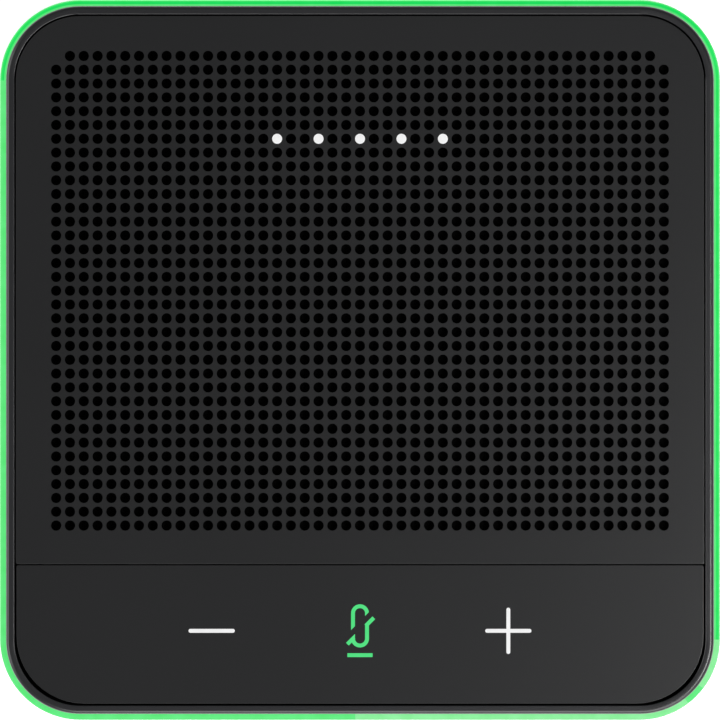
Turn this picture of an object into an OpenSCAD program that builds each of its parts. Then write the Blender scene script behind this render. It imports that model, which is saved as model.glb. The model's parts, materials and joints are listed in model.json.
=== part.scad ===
// Square table-top conference speakerphone with a perforated grille, a rocking three-key
// strip and a light ring round its waist. Millimetres; +Z up, +Y away from the user,
// origin on the table at the middle of the footprint.

/* [Body] */
// Width and depth over the light ring
body_w = 120; // [119:0.5:122]
// Corner radius of the light ring, seen from above
corner_r = 13.4; // [13:0.1:14]
// Wall of the base shell
wall = 2; // [1.8:0.1:2.2]
// Width of the bezel rim round the face
bezel_w = 1.4; // [1.2:0.1:1.5]

/* [Face] */
// Distance between neighbouring grille holes
hole_pitch = 2.3; // [2.1:0.05:2.3]
// Diameter of a grille hole
hole_d = 1.7; // [1.2:0.1:1.7]
// Number of hole columns
hole_columns = 45; // [31:2:45]
// Number of hole rows
hole_rows = 35; // [29:2:35]
// Thickness of the grille plate
plate_t = 1.8; // [1.6:0.1:1.8]
// Number of status lights
light_count = 5; // [1:2:5]
// Diameter of a status light
light_d = 1.7; // [1.5:0.1:2]

/* [Keys] */
// Depth of the key strip, front to back
strip_d = 23.03; // [22.9:0.01:23.1]
// Distance of the volume symbols from the middle
volume_x = 24.7; // [23:0.1:26]
// Length of a stroke of the volume symbols
symbol_l = 7.7; // [6:0.1:8]
// Width of a symbol's stroke
stroke_w = 0.65; // [0.5:0.05:0.8]
// Thickness of the key plate
key_t = 1.6; // [1.4:0.1:1.6]

/* [Light ring] */
// Height of the ring's visible band
ring_h = 3; // [3:0.1:3.2]
// How far the ring stands out of the bezel
ring_out = 1.05; // [0.9:0.05:1.2]
// Light sources along each side
side_leds = 8; // [4:1:8]

/* [Speaker] */
// Distance of the driver's centre behind the middle
driver_y = 2; // [1:0.5:3]
// Outer radius of the driver's flange
driver_r = 26; // [25:0.5:26]

/* [Hidden] */

// Fineness of arcs.
ARC = 96;
SMALL_ARC = 32;
// Overshoot of a cutting tool.
CUT = 1;

// Plan of the body. Every outline of the housing is a rounded square whose corner arcs
// share the same four centres, so an outline is named by its half width alone.
half_w = body_w / 2;
arc_c = half_w - corner_r;
bezel_half = half_w - ring_out;
face_gap = 0.25;
opening_half = bezel_half - bezel_w;
face_half = opening_half - face_gap;

// Heights, from the table up.
base_z = 1.2;
floor_t = 2.2;
floor_top = base_z + floor_t;
foot_recess = 0.8;
board_z = floor_top + 1.6;
board_t = 1.6;
board_top = board_z + board_t;
chamber_z = 9.6;
baffle_z = 27;
baffle_t = 2;
baffle_top = baffle_z + baffle_t;
ring_z = 28.4;
frame_z = ring_z + ring_h;
shelf_t = 1.4;
shelf_top = frame_z + shelf_t;
gasket_t = 1.4;
plate_z = shelf_top + gasket_t;
face_z = plate_z + plate_t;

// Face layout.
field_y = 11.54;
key_half = face_half - 0.1;
seam_w = 0.2;
seam_y = -key_half + strip_d + seam_w;
light_y = field_y + 11 * hole_pitch;
light_step = 3 * hole_pitch;
light_xs = [for (i = [0:light_count - 1]) (i - (light_count - 1) / 2) * light_step];

// Key mechanism. The cradle tips about a cross axis at its rear edge, and the key plate
// rocks on the cradle about the centre line.
key_z = face_z - key_t;
key_corner_r = key_half - arc_c + 0.6;
icon_y = -45.1;
tip_y = -36.4;
tip_z = shelf_top - 0.4;
rock_z = tip_z + 0.8;
pin_r = 0.6;
pin_play = 0.05;
mute_post_y = -50.6;
post_r = 1.2;
cradle_z = tip_z - 0.4;
cradle_t = 1.2;
cradle_x = 43.3;
cradle_rear_y = -38.2;
cradle_front_y = -54.2;
ear_x = 38;
ear_t = 2;
beam_y = -34.6;
beam_d = 4;
knuckle_x = 40.3;

// Mute symbol: a microphone capsule cut by a 45 degree slash, over a base bar.
capsule_r = 1.167;
capsule_top = icon_y + 2.93;
capsule_bottom = icon_y - 1.28;
slash_drop = 45.23;
hook_drop = 43.48;
slash_from = -2.1;
slash_to = 2.3;
base_bar_y = -49.15;
base_bar_l = 4.2;

// Circuit boards and fasteners.
boss_xy = arc_c + 1.6;
boss_r = 3.5;
m3_r = 1.5;
small_screw_r = 1.1;
key_board_z = 27.8;
key_board_t = 1;
upper_board_z = baffle_top + 1.4;
upper_board_t = 1;
upper_board_top = upper_board_z + upper_board_t;
post_x = 45;
post_ys = [-14, 22];
main_board_screws = [[-38, 49], [38, 49], [-38, -29], [38, -29]];
key_board_screws = [[-40, -38], [40, -38], [-40, -49.5], [40, -49.5]];
upper_board_screws = [[-38.5, 47.5], [38.5, 47.5], [-38.5, -12], [38.5, -12]];
mic_spots = [[-40, 36], [40, 36], [-40, -22], [40, -22]];

// USB-C inlet in the rear wall.
port_w = 9.3;
port_h = 3.66;
port_z = board_top + 1.63;
port_mouth_y = half_w - 4.6;

// Driver, as radii about its axis and heights from the table.
yoke_z = 12;
yoke_top = 19.2;
gap_z = 13.6;
ledge_z = 21;
flange_t = 1.2;
flange_top = baffle_top + flange_t;
former_r = 10.5;
cone_z = 23;
cone_rim_r = 18;

// ---------- plan and section helpers ----------

module outline(half) {
    r = half - arc_c;
    square([2 * half, 2 * arc_c], center = true);
    square([2 * arc_c, 2 * half], center = true);
    for (x = [-1, 1], y = [-1, 1])
        translate([x * arc_c, y * arc_c]) circle(r = r, $fn = ARC);
}

module band(outer, inner) {
    difference() {
        outline(outer);
        outline(inner);
    }
}

module rounded_rect(w, d, r) {
    square([w - 2 * r, d], center = true);
    square([w, d - 2 * r], center = true);
    for (x = [-1, 1], y = [-1, 1])
        translate([x * (w / 2 - r), y * (d / 2 - r)]) circle(r = r, $fn = SMALL_ARC);
}

module slab(z, t) {
    translate([0, 0, z]) linear_extrude(height = t) children();
}

module block(x0, x1, y0, y1, z0, z1) {
    translate([x0, y0, z0]) cube([x1 - x0, y1 - y0, z1 - z0]);
}

// Sweeps a section round the rounded square. Its points are [distance outward from the
// line of the corner centres, height].
module swept(section) {
    for (k = [0:3])
        rotate([0, 0, 90 * k]) {
            rotate([90, 0, 0])
                linear_extrude(height = 2 * arc_c, center = true)
                    polygon([for (p = section) [arc_c + p[0], p[1]]]);
            translate([arc_c, arc_c, 0])
                rotate_extrude(angle = 90, $fn = ARC) polygon(section);
        }
}

module disc(r, z0, z1, x = 0, y = 0) {
    translate([x, y, z0]) cylinder(r = r, h = z1 - z0, $fn = r > 5 ? ARC : SMALL_ARC);
}

module tube(outer, inner, z0, z1, x = 0, y = 0) {
    difference() {
        disc(outer, z0, z1, x, y);
        disc(inner, z0 - CUT, z1 + CUT, x, y);
    }
}

module rod_x(r, x0, x1, y, z) {
    translate([x0, y, z]) rotate([0, 90, 0]) cylinder(r = r, h = x1 - x0, $fn = SMALL_ARC);
}

module rod_y(r, y0, y1, x, z) {
    translate([x, y1, z]) rotate([90, 0, 0]) cylinder(r = r, h = y1 - y0, $fn = SMALL_ARC);
}

module at_driver() {
    translate([0, driver_y, 0]) children();
}

module revolved(points) {
    at_driver() rotate_extrude($fn = ARC) polygon(points);
}

module screw(head_r, head_h, shank_r, shank_l) {
    difference() {
        union() {
            translate([0, 0, -head_h]) cylinder(r = head_r, h = head_h, $fn = SMALL_ARC);
            cylinder(r = shank_r, h = shank_l, $fn = SMALL_ARC);
        }
        for (turn = [0, 90])
            rotate([0, 0, turn])
                translate([-head_r * 0.6, -0.3, -head_h - CUT])
                    cube([head_r * 1.2, 0.6, CUT + head_h * 0.55]);
    }
}

function arc(cx, cz, r, from, to, steps) =
    [for (i = [0:steps]) let (a = from + (to - from) * i / steps)
        [cx + r * cos(a), cz + r * sin(a)]];
function reversed(list) = [for (i = [len(list) - 1:-1:0]) list[i]];

// ---------- housing ----------

shell_belly = 5;
shell_turn = half_w - 7.2 - arc_c;
shell_knee_z = base_z + 8;
shell_rim = half_w - 1.4 - arc_c;
lip_half = half_w - 7;
lip_t = 1.2;

function shell_section() = concat(
    [[0, base_z]],
    [for (i = [0:8]) let (a = 90 * i / 8)
        [shell_turn + shell_belly * sin(a), shell_knee_z - 8 * cos(a)]],
    [[shell_rim, ring_z],
     [lip_half - arc_c, ring_z],
     [lip_half - arc_c, ring_z - lip_t],
     [shell_rim - wall, ring_z - lip_t]],
    [for (i = [8:-1:0]) let (a = 90 * i / 8)
        [shell_turn + (shell_belly - wall) * sin(a),
         shell_knee_z - (8 - floor_t) * cos(a)]],
    [[0, floor_top]]);

module base_shell() {
    color("#26272a")
        difference() {
            union() {
                swept(shell_section());
                slab(base_z, floor_t) square(2 * arc_c, center = true);
                for (x = [-1, 1], y = [-1, 1]) {
                    disc(boss_r, floor_top, ring_z, x * boss_xy, y * boss_xy);
                    disc(boss_r + 1.1, floor_top, 6, x * boss_xy, y * boss_xy);
                }
                for (x = [-post_x, post_x], y = post_ys) disc(2.8, floor_top, 25, x, y);
                for (p = key_board_screws) disc(2.2, floor_top, key_board_z, p[0], p[1]);
                for (p = main_board_screws) disc(2.5, floor_top, board_z, p[0], p[1]);
                block(-8.5, 8.5, half_w - 7.4, half_w - 3.8, floor_top, 13);
            }
            for (x = [-1, 1], y = [-1, 1]) {
                disc(m3_r + 0.2, 0, ring_z + CUT, x * boss_xy, y * boss_xy);
                disc(3.2, 0, 4.2, x * boss_xy, y * boss_xy);
            }
            for (x = [-post_x, post_x], y = post_ys) disc(m3_r, 12, 25 + CUT, x, y);
            for (p = key_board_screws)
                disc(small_screw_r, 22, key_board_z + CUT, p[0], p[1]);
            for (p = main_board_screws) disc(small_screw_r, 2.6, board_z + CUT, p[0], p[1]);
            slab(base_z - CUT, CUT + foot_recess) foot_plan(0);
            slab(base_z - CUT, CUT + 0.3) rounded_rect(44, 26, 2);
            port_slot(port_w, port_h, half_w - 8, half_w);
            port_slot(12.6, 7, port_mouth_y, half_w);
        }
}

module port_slot(w, h, y0, y1) {
    for (x = [-1, 1]) rod_y(h / 2, y0, y1, x * (w - h) / 2, port_z);
    block(-(w - h) / 2, (w - h) / 2, y0, y1, port_z - h / 2, port_z + h / 2);
}

module foot_plan(play) {
    difference() {
        rounded_rect(88 - play, 88 - play, 8);
        rounded_rect(72 + play, 72 + play, 4);
    }
}

module foot_ring() {
    color("#151515") slab(0, base_z + foot_recess) foot_plan(0);
}

module blank_label() {
    color("#3a3b3d") slab(base_z + 0.1, 0.2) rounded_rect(43.6, 25.6, 1.8);
}

// The bezel wall, with a shelf inside it that carries the grille plate.
function frame_section() =
    let (out = bezel_half - arc_c, in = opening_half - arc_c, shelf = lip_half - 0.5 - arc_c)
    concat(
        [[in, shelf_top], [in, face_z - 0.1], [in + 0.1, face_z], [out - 0.65, face_z]],
        arc(out - 0.65, face_z - 0.65, 0.65, 75, 0, 5),
        [[out, frame_z], [shelf, frame_z], [shelf, shelf_top]]);

module hinge_ear(x) {
    difference() {
        union() {
            rod_x(1.4, x, x + ear_t, tip_y, tip_z);
            block(x, x + ear_t, tip_y, beam_y + 0.3, frame_z, shelf_top + 0.4);
        }
        rod_x(pin_r + pin_play, x - CUT, x + ear_t + CUT, tip_y, tip_z);
    }
}

module top_frame() {
    color("#2b2c2e")
        difference() {
            union() {
                difference() {
                    swept(frame_section());
                    block(-50, 50, -opening_half + 1.25, -arc_c, frame_z - CUT, shelf_top + CUT);
                }
                block(-opening_half - 0.5, opening_half + 0.5, beam_y, beam_y + beam_d,
                      frame_z, shelf_top);
                hinge_ear(ear_x);
                hinge_ear(-ear_x - ear_t);
                for (x = [-1, 1], y = [-1, 1]) {
                    disc(4.4, frame_z, shelf_top, x * boss_xy, y * boss_xy);
                    disc(boss_r, ring_z, frame_z, x * boss_xy, y * boss_xy);
                }
            }
            for (x = [-1, 1], y = [-1, 1])
                disc(m3_r, ring_z - CUT, shelf_top - 0.5, x * boss_xy, y * boss_xy);
        }
}

// A translucent band: a rounded nose outside, and a tongue that the light enters.
function ring_section() =
    let (out = half_w - arc_c, neck = opening_half + 0.45 - arc_c, top = frame_z)
    concat(
        [[neck, ring_z]],
        arc(out - 0.6, ring_z + 0.6, 0.6, -90, 0, 4),
        arc(out - 0.7, top - 0.7, 0.7, 0, 90, 4),
        [[neck, top], [neck, top - 0.8], [neck - 2.2, top - 0.8],
         [neck - 2.2, ring_z + 0.8], [neck, ring_z + 0.8]]);

module light_ring() {
    color("#1fde5c") swept(ring_section());
}

module ring_carrier() {
    color("#e9e9e6") slab(ring_z, ring_h) band(half_w - 5.3, half_w - 6.8);
}

module ring_led_strip() {
    color("#f2f2ee") slab(ring_z + 0.4, ring_h - 0.8) band(half_w - 5, half_w - 5.3);
}

module ring_leds() {
    led = [0.7, 2, 1.4];
    step = 2 * arc_c / side_leds;
    color("#fffbe0")
        for (k = [0:3])
            rotate([0, 0, 90 * k]) {
                for (i = [0:side_leds - 1])
                    translate([half_w - 5, -arc_c + step * (i + 0.5) - led[1] / 2, ring_z + 0.8])
                        cube(led);
                translate([arc_c, arc_c, ring_z + 0.8])
                    rotate([0, 0, 45])
                        translate([half_w - 5 - arc_c, -led[1] / 2, 0]) cube(led);
            }
}

// ---------- face ----------

module face_plan(half) {
    intersection() {
        outline(half);
        translate([-body_w, seam_y]) square([2 * body_w, body_w]);
    }
}

function is_light(i, j) = j == 11 && len([for (x = light_xs) if (abs(i * hole_pitch - x) < 0.1) 1]) > 0;
function is_corner(i, j) = j == (hole_rows - 1) / 2 && abs(i) == (hole_columns - 1) / 2;

module grille_plate() {
    color("#2d2d2e")
        slab(plate_z, plate_t)
            difference() {
                face_plan(face_half);
                for (i = [-(hole_columns - 1) / 2:(hole_columns - 1) / 2],
                     j = [-(hole_rows - 1) / 2:(hole_rows - 1) / 2])
                    if (!is_light(i, j) && !is_corner(i, j))
                        translate([i * hole_pitch, field_y + j * hole_pitch])
                            circle(r = hole_d / 2, $fn = 24);
                for (x = light_xs) translate([x, light_y]) circle(r = light_d / 2, $fn = 24);
            }
}

module grille_gasket() {
    color("#111111")
        slab(shelf_top, gasket_t)
            difference() {
                intersection() {
                    outline(face_half - 0.3);
                    translate([-body_w, seam_y + 0.2]) square([2 * body_w, body_w]);
                }
                intersection() {
                    outline(face_half - 2.1);
                    translate([-body_w, seam_y + 2]) square([2 * body_w, body_w]);
                }
            }
}

module dust_screen() {
    color("#060606")
        difference() {
            slab(plate_z - 0.2, 0.2)
                intersection() {
                    outline(face_half - 2.4);
                    translate([-body_w, seam_y + 2.3]) square([2 * body_w, body_w]);
                }
            for (x = light_xs) disc(light_d / 2, plate_z - CUT, plate_z + CUT, x, light_y);
        }
}

module status_light_pipes() {
    color("#ffffff")
        for (x = light_xs) disc(light_d / 2, upper_board_top + 0.7, face_z, x, light_y);
}

module light_pipe_block() {
    reach = light_xs[light_count - 1] + 2.7;
    color("#101010")
        difference() {
            union() {
                block(-reach, reach, light_y - 2, light_y + 2,
                      upper_board_top + 0.9, upper_board_top + 2.4);
                for (x = [-reach, reach - 1])
                    block(x, x + 1, light_y - 2, light_y + 2,
                          upper_board_top, upper_board_top + 0.9);
            }
            for (x = light_xs)
                disc(light_d / 2, upper_board_top, plate_z, x, light_y);
        }
}

// ---------- keys ----------

module capsule_slot(l) {
    square([l - stroke_w, stroke_w], center = true);
    for (x = [-1, 1]) translate([x * (l - stroke_w) / 2, 0]) circle(d = stroke_w, $fn = 24);
}

module minus_plan() {
    translate([-volume_x, icon_y]) capsule_slot(symbol_l);
}

module plus_plan() {
    translate([volume_x, icon_y]) {
        capsule_slot(symbol_l);
        rotate(90) capsule_slot(symbol_l);
    }
}

module capsule_plan(r) {
    for (y = [capsule_bottom, capsule_top]) translate([0, y]) circle(r = r, $fn = 48);
    translate([-r, capsule_bottom]) square([2 * r, capsule_top - capsule_bottom]);
}

module capsule_outline() {
    difference() {
        capsule_plan(capsule_r + stroke_w / 2);
        capsule_plan(capsule_r - stroke_w / 2);
    }
}

// All that lies above and left of the 45 degree line y = x - drop, round the symbol.
module above_line(drop) {
    translate([0, -drop]) rotate(45) translate([-10, 0]) square(20);
}

module mute_plan() {
    intersection() {
        capsule_outline();
        above_line(hook_drop);
    }
    difference() {
        capsule_outline();
        above_line(slash_drop - stroke_w * sqrt(0.5));
    }
    difference() {
        translate([0, -slash_drop]) rotate(45)
            translate([slash_from * sqrt(2), -stroke_w / 2])
                square([(slash_to - slash_from) * sqrt(2), stroke_w]);
        capsule_plan(capsule_r - stroke_w / 2);
    }
    translate([0, base_bar_y]) square([base_bar_l, stroke_w], center = true);
}

module rock_lug(y0, y1, z0, z1, bore) {
    difference() {
        block(-1.6, 1.6, y0, y1, z0, z1);
        rod_y(bore, y0 - CUT, y1 + CUT, 0, rock_z);
    }
}

module key_plate() {
    color("#2d2d2e") {
        slab(key_z, key_t)
            difference() {
                intersection() {
                    rounded_rect(2 * key_half, 2 * key_half, key_corner_r);
                    translate([-body_w, seam_y - seam_w - body_w]) square([2 * body_w, body_w]);
                }
                minus_plan();
                mute_plan();
                plus_plan();
            }
        for (x = [-volume_x, volume_x])
            disc(post_r, key_board_z + 3.65, key_z, x, tip_y);
        disc(post_r, key_board_z + 3.65, key_z, 0, mute_post_y);
        rock_lug(-38, -36.5, rock_z - 0.9, key_z, pin_r + pin_play);
        rock_lug(-55.9, -54.4, rock_z - 0.9, key_z, pin_r + pin_play);
    }
}

module icon_insert() {
    slab(key_z, key_t) children();
}

module icon_minus() {
    color("#f4f4f4") icon_insert() minus_plan();
}

module icon_plus() {
    color("#f4f4f4") icon_insert() plus_plan();
}

module icon_mute() {
    color("#4df57f") icon_insert() mute_plan();
}

module key_cradle() {
    top = cradle_z + cradle_t;
    color("#8d9094") {
        difference() {
            block(-cradle_x, cradle_x, cradle_front_y, cradle_rear_y, cradle_z, top);
            for (x = [-volume_x, volume_x])
                block(x - 5.3, x + 5.3, -50.4, -40, cradle_z - CUT, top + CUT);
            block(-3.4, 3.4, -52.2, -40.6, cradle_z - CUT, top + CUT);
            rod_y(pin_r, cradle_front_y - CUT, cradle_rear_y + CUT, 0, rock_z);
        }
        rock_lug(-40.2, cradle_rear_y, cradle_z, rock_z + 0.9, pin_r);
        rock_lug(cradle_front_y, -52.7, cradle_z, rock_z + 0.9, pin_r);
        for (side = [0, 1])
            mirror([side, 0, 0])
                difference() {
                    union() {
                        rod_x(1.3, knuckle_x, cradle_x, tip_y, tip_z);
                        block(knuckle_x, cradle_x, cradle_rear_y - 0.5, tip_y, cradle_z, top);
                    }
                    rod_x(pin_r, knuckle_x - CUT, cradle_x + CUT, tip_y, tip_z);
                }
    }
}

module cradle_pins() {
    color("#c9ccd0")
        for (side = [0, 1])
            mirror([side, 0, 0]) rod_x(pin_r, ear_x - 0.4, cradle_x, tip_y, tip_z);
}

module rocker_pins() {
    color("#c9ccd0") {
        rod_y(pin_r, -40.2, -36.5, 0, rock_z);
        rod_y(pin_r, -55.9, -52.7, 0, rock_z);
    }
}

switch_spots = [[-volume_x, tip_y], [0, mute_post_y], [volume_x, tip_y]];
switch_top = key_board_z + key_board_t + 1.8;

module switch_bodies() {
    color("#1c1c1c")
        for (p = switch_spots)
            difference() {
                block(p[0] - 1.75, p[0] + 1.75, p[1] - 1.75, p[1] + 1.75,
                      key_board_z + key_board_t, switch_top);
                disc(1.05, switch_top - 1.3, switch_top + CUT, p[0], p[1]);
            }
}

module plunger(p) {
    color("#b5372c") disc(1, switch_top - 0.9, switch_top + 0.8, p[0], p[1]);
}

module key_board() {
    color("#164a2e")
        difference() {
            block(-44, 44, -52.6, -34.6, key_board_z, key_board_z + key_board_t);
            for (p = key_board_screws)
                disc(small_screw_r + 0.1, key_board_z - CUT, switch_top, p[0], p[1]);
        }
}

module key_leds() {
    z = key_board_z + key_board_t;
    color("#fdf7d8")
        for (x = [-volume_x, 0, volume_x])
            block(x - 0.8, x + 0.8, icon_y - 0.4, icon_y + 0.4, z, z + 0.6);
}

module chimney(x, w) {
    z = key_board_z + key_board_t;
    difference() {
        block(x - w / 2, x + w / 2, icon_y - 3.5, icon_y + 4.2, z, z + 2.8);
        block(x - w / 2 + 0.8, x + w / 2 - 0.8, icon_y - 2.7, icon_y + 3.4, z - CUT, z + 4);
    }
}

module key_light_shroud() {
    z = key_board_z + key_board_t;
    color("#e4e4e0") {
        chimney(-volume_x, 9.6);
        chimney(0, 5.8);
        chimney(volume_x, 9.6);
        for (side = [0, 1])
            mirror([side, 0, 0]) block(2.5, volume_x - 4.4, icon_y - 1, icon_y + 1, z, z + 0.8);
    }
}

// ---------- speaker ----------

chamber_size = [80, 56];

module chamber_plan(inset) {
    translate([0, driver_y])
        rounded_rect(chamber_size[0] - 2 * inset, chamber_size[1] - 2 * inset, 6 - inset);
}

module speaker_chamber() {
    color("#3b3b3d")
        difference() {
            union() {
                difference() {
                    slab(chamber_z, baffle_z - 0.6 - chamber_z) chamber_plan(0);
                    slab(chamber_z + 1.4, baffle_z) chamber_plan(1.8);
                }
                for (side = [0, 1], y = post_ys)
                    mirror([side, 0, 0])
                        difference() {
                            union() {
                                disc(3.2, baffle_z - 2, baffle_z, post_x, y);
                                block(chamber_size[0] / 2 - 0.5, post_x, y - 3.2, y + 3.2,
                                      baffle_z - 2, baffle_z - 0.6);
                            }
                            disc(m3_r + 0.1, 20, baffle_z + CUT, post_x, y);
                        }
            }
            for (x = [-1.2, 1.2]) rod_y(0.65, 25, 32, x, 22.5);
        }
}

module chamber_gasket() {
    color("#1a1a1a")
        slab(baffle_z - 0.6, 0.6)
            difference() {
                chamber_plan(0.1);
                chamber_plan(1.7);
            }
}

module speaker_baffle() {
    screw_r = 28.4;
    color("#34353a")
        difference() {
            union() {
                slab(baffle_z, baffle_t) {
                    translate([0, 11]) square([88.4, 80], center = true);
                    for (x = [-post_x, post_x], y = post_ys) translate([x, y]) circle(r = 3.6, $fn = SMALL_ARC);
                }
                for (p = upper_board_screws) disc(2, baffle_top, upper_board_z, p[0], p[1]);
            }
            at_driver() {
                disc(23, baffle_z - CUT, baffle_top + CUT);
                for (a = [45:90:315])
                    rotate([0, 0, a]) disc(1.2, baffle_z - CUT, baffle_top + CUT, screw_r);
            }
            for (x = [-post_x, post_x], y = post_ys)
                disc(m3_r + 0.1, baffle_z - CUT, baffle_top + CUT, x, y);
            for (p = upper_board_screws)
                disc(small_screw_r, baffle_z + 0.8, upper_board_z + CUT, p[0], p[1]);
            block(-21, -9, 44, 46, baffle_z - CUT, baffle_top + CUT);
        }
}

module driver_basket() {
    color("#6f7378")
        difference() {
            union() {
                revolved([
                    [13, yoke_top - 1.2], [20.6, yoke_top - 1.2], [22.7, baffle_top],
                    [driver_r, baffle_top], [driver_r, flange_top], [21.7, flange_top],
                    [20.1, ledge_z], [18.2, ledge_z], [18.2, yoke_top], [13, yoke_top]]);
                at_driver() {
                    for (a = [45:90:315])
                        rotate([0, 0, a]) {
                            disc(3, baffle_top, flange_top, 28.4);
                            block(24, 28.4, -3, 3, baffle_top, flange_top);
                        }
                    block(-3.5, 3.5, 19.7, 21.6, ledge_z - 1, ledge_z + 0.8);
                }
            }
            at_driver() {
                for (a = [45:90:315])
                    rotate([0, 0, a]) disc(1.3, baffle_top - CUT, flange_top + CUT, 28.4);
                for (k = [0:5])
                    rotate([0, 0, 60 * k]) block(17, 25, -5, 5, ledge_z + 1.4, baffle_top - 1);
            }
        }
}

module driver_yoke() {
    color("#aeb2b6") at_driver()
        difference() {
            disc(13, yoke_z, yoke_top);
            disc(11.4, gap_z, yoke_top + CUT);
        }
}

module driver_magnet() {
    color("#55585c") at_driver() disc(9.4, gap_z, 17.2);
}

module driver_pole_plate() {
    color("#aeb2b6") at_driver() disc(9.7, 17.2, yoke_top);
}

module driver_gasket() {
    color("#1a1a1a") at_driver() tube(driver_r - 0.2, 23.8, flange_top, flange_top + 0.8);
}

module terminal_strip() {
    color("#8a5a2b") at_driver() block(-3.5, 3.5, 21.6, 22.4, ledge_z - 1, ledge_z + 2);
}

function cone_height(r) = cone_z + 6.6 * pow((r - former_r) / (cone_rim_r - former_r), 1.25);

module cone() {
    lower = [for (i = [0:10]) let (r = former_r + (cone_rim_r - former_r) * i / 10) [r, cone_height(r)]];
    color("#1d1d1f")
        revolved(concat(lower, [for (p = reversed(lower)) [p[0], p[1] + 0.5]]));
}

module surround() {
    middle_r = (18.3 + 22.1) / 2;
    roll_r = (22.1 - 18.3) / 2;
    lip_z = cone_height(cone_rim_r) + 0.5;
    color("#101010")
        revolved(concat(
            [[17, lip_z], [18.3, lip_z]],
            arc(middle_r, lip_z + 0.4, roll_r - 0.5, 180, 0, 12),
            [[22.1, flange_top], [23.6, flange_top], [23.6, flange_top + 0.5]],
            arc(middle_r, lip_z + 0.4, roll_r, 0, 180, 12),
            [[17, lip_z + 0.4]]));
}

function spider_z(r) = ledge_z + 0.4 * (1 - cos(360 * (r - former_r) / 2.6)) * (r < 18.2 ? 1 : 0);

module spider() {
    lower = [for (i = [0:28]) let (r = former_r + i * 9.1 / 28) [r, spider_z(r)]];
    color("#c9a24b") revolved(concat(lower, [for (p = reversed(lower)) [p[0], p[1] + 0.3]]));
}

module dust_cap() {
    base_r = 10.7;
    rise = 3;
    dome_r = (base_r * base_r + rise * rise) / (2 * rise);
    edge = asin(base_r / dome_r);
    centre_z = cone_z + 1.2 + rise - dome_r;
    color("#1d1d1f")
        revolved(concat(arc(0, centre_z, dome_r, 90 - edge, 90, 10),
                        arc(0, centre_z, dome_r + 0.4, 90, 90 - edge, 10)));
}

module coil_former() {
    color("#b98b4e") at_driver() tube(former_r, former_r - 0.3, 15.4, cone_z + 1.2);
}

module voice_coil() {
    color("#b5651d") at_driver() tube(former_r + 0.5, former_r, 16, 20);
}

module speaker_leads() {
    run_y = driver_y + 31.5;
    color("#a02020")
        for (x = [-1.2, 1.2]) {
            rod_y(0.6, driver_y + 22.4, run_y, x, 22.5);
            translate([x, run_y, 22.5]) sphere(r = 0.6, $fn = SMALL_ARC);
            disc(0.6, board_top + 2.4, 22.5, x, run_y);
        }
}

// ---------- boards ----------

module upper_board() {
    color("#164a2e")
        difference() {
            block(-44.2, 44.2, -27, 51, upper_board_z, upper_board_top);
            block(-33, 33, -30, 31, upper_board_z - CUT, upper_board_top + CUT);
            for (p = upper_board_screws)
                disc(small_screw_r + 0.1, upper_board_z - CUT, upper_board_top + CUT, p[0], p[1]);
            for (p = mic_spots)
                disc(0.5, upper_board_z - CUT, upper_board_top + CUT, p[0], p[1]);
        }
}

module status_leds() {
    color("#fdf7d8")
        for (x = light_xs)
            block(x - 0.8, x + 0.8, light_y - 0.4, light_y + 0.4,
                  upper_board_top, upper_board_top + 0.6);
}

module mic_capsules() {
    color("#c8c9cb")
        for (p = mic_spots)
            block(p[0] - 1.9, p[0] + 1.9, p[1] - 1.5, p[1] + 1.5,
                  upper_board_z - 1.1, upper_board_z);
}

module mic_boots() {
    color("#202020")
        for (p = mic_spots) tube(3.2, 0.8, upper_board_top, plate_z - 0.2, p[0], p[1]);
}

module main_board() {
    color("#164a2e")
        difference() {
            block(-41.5, 41.5, -32, half_w - 7.6, board_z, board_top);
            for (p = main_board_screws)
                disc(small_screw_r + 0.1, board_z - CUT, board_top + CUT, p[0], p[1]);
        }
}

module main_processor() {
    color("#18191b") block(-8, 6, -14, 0, board_top, board_top + 1.2);
}

module amplifier_chip() {
    color("#18191b") block(20, 27, 14, 21, board_top, board_top + 1);
}

module shield_can() {
    color("#b9bcbf")
        difference() {
            block(-30, -12, 12, 28, board_top, board_top + 2);
            block(-29.7, -12.3, 12.3, 27.7, board_top - CUT, board_top + 1.7);
        }
}

module board_capacitors() {
    color("#c9b26a")
        for (i = [0:5]) disc(1.9, board_top, board_top + 2.4, 12 + 5 * (i % 3), -6 - 6 * floor(i / 3));
}

module usb_c_socket() {
    w = 8.94;
    h = 3.26;
    shell_t = 0.3;
    color("#c0c2c5") {
        difference() {
            port_slot(w, h, port_mouth_y - 7.35, port_mouth_y);
            port_slot(w - 2 * shell_t, h - 2 * shell_t, port_mouth_y - 6.35, port_mouth_y + CUT);
        }
        block(-3.3, 3.3, port_mouth_y - 6.35, port_mouth_y - 0.9, port_z - 0.35, port_z + 0.35);
    }
}

module board_connectors() {
    color("#efe9d8") {
        block(-5, 5, -31, -28, board_top, board_top + 1.6);
        block(-5, 5, -38.6, -35.6, key_board_z - 1.6, key_board_z);
        block(-20, -10, 40, 43, board_top, board_top + 1.6);
        block(-20, -10, 46.4, 49.4, upper_board_z - 1.2, upper_board_z);
        block(-3, 3, driver_y + 29.5, driver_y + 33.5, board_top, board_top + 2.4);
    }
}

module key_flex() {
    z0 = board_top + 0.7;
    z1 = key_board_z - 0.9;
    color("#d98a2b") {
        block(-4, 4, -34.4, -31, z0, z0 + 0.2);
        block(-4, 4, -34.4, -34.2, z0, z1);
        block(-4, 4, -35.6, -34.2, z1 - 0.2, z1);
    }
}

module upper_flex() {
    z0 = board_top + 0.7;
    z1 = upper_board_z - 0.5;
    color("#d98a2b") {
        block(-19, -11, 43, 45.1, z0, z0 + 0.2);
        block(-19, -11, 44.9, 45.1, z0, z1);
        block(-19, -11, 44.9, 46.4, z1 - 0.2, z1);
    }
}

// ---------- fasteners ----------

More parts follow.
